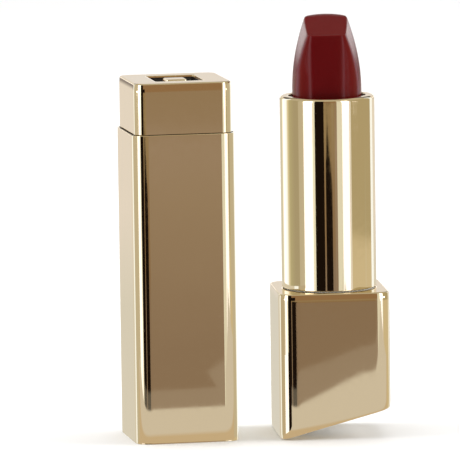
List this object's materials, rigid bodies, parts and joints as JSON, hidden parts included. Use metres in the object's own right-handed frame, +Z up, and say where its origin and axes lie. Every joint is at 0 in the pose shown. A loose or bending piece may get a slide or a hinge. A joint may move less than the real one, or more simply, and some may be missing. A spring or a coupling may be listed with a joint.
{
  "type": "lipstick case",
  "caption": "Square gilt lipstick case with a slant-cut base, a twist-up round sleeve showing a red lipstick, and its square cap standing beside it.",
  "frame": {"origin": "midway between cap and base, on the surface that both stand on", "axes": "+Z up along both upright axes, +X from the cap to the base, -Y the front of the lipstick"},
  "size_m": [0.0447, 0.0188, 0.0709],
  "materials": {
    "gilt": "mirror polished",
    "lipstick_red": "satin wax",
    "black_plastic": "fine matt",
    "nylon": "moulded satin",
    "aluminium": "satin",
    "steel": "turned",
    "nickel": "polished",
    "silicone": "matt",
    "label": "matt"
  },
  "bodies": {
    "base": {"base_shell": "gilt", "foot_plate": "gilt", "shade_label": "label", "base_weight": "steel", "base_insert": "black_plastic", "base_magnet_1": "nickel", "base_magnet_2": "nickel", "fork_tube": "nylon", "thrust_washer": "nylon", "brake_ring": "silicone"},
    "sleeve": {"gold_sleeve": "gilt", "spiral_sleeve": "nylon"},
    "carrier": {"carrier_cup": "aluminium", "lipstick": "lipstick_red"},
    "cap": {"cap_shell": "gilt", "crown_gasket": "black_plastic", "cap_crown": "gilt", "crown_inlay": "black_plastic", "crown_stud": "gilt", "cap_liner": "black_plastic", "cap_weight": "steel", "cap_magnet_1": "nickel", "cap_magnet_2": "nickel"}
  },
  "joints": [
    {"name": "twist", "type": "hinge", "parent": "base", "child": "sleeve", "pos_m": [0.0129, 0, 0.0249], "axis": [0, 0, -1], "range_deg": [-351, 189]},
    {"name": "carrier_slide", "type": "slide", "parent": "base", "child": "carrier", "axis": [0, 0, 1], "range_m": [-0.0156, 0.0084]},
    {"name": "cap_lift", "type": "slide", "parent": "base", "child": "cap", "axis": [0, 0, 1], "range_m": [0, 0.085]}
  ],
  "couplings": [
    {"joint": "carrier_slide", "follows": "twist", "m_per_rad": 0.0025465}
  ]
}
